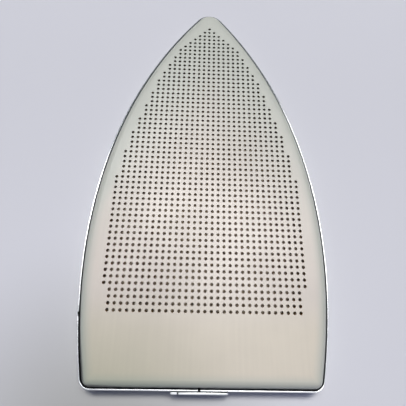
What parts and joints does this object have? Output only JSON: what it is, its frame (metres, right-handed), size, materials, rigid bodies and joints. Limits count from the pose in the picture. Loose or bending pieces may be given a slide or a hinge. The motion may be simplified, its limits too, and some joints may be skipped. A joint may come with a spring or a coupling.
{
  "type": "iron shoe cover",
  "caption": "Iron shoe cover: pointed PTFE sole plate with a field of small steam holes, its bent-down skirt gripped in a folded metal band that is joined by a riveted strap at the heel.",
  "frame": {"origin": "centre of the bounding box, on the plane of the band's free edge that the shoe rests on", "axes": "+Z out of the ironing face, which lies up as in the picture; +Y towards the nose; +X to the right seen from above with the nose away"},
  "size_m": [0.13, 0.235, 0.013],
  "materials": {
    "ptfe": "pressed PTFE sheet, creamy white, smooth satin ironing face, cut steam holes",
    "band_metal": "rolled strip, edges ground bright",
    "strap_metal": "cold rolled strip, bright edges",
    "rivet_metal": "domed head, drawn bright"
  },
  "bodies": {
    "root": {"sole_plate": "ptfe", "rim_band": "band_metal", "heel_strap": "strap_metal", "heel_rivets": "rivet_metal"}
  },
  "joints": []
}
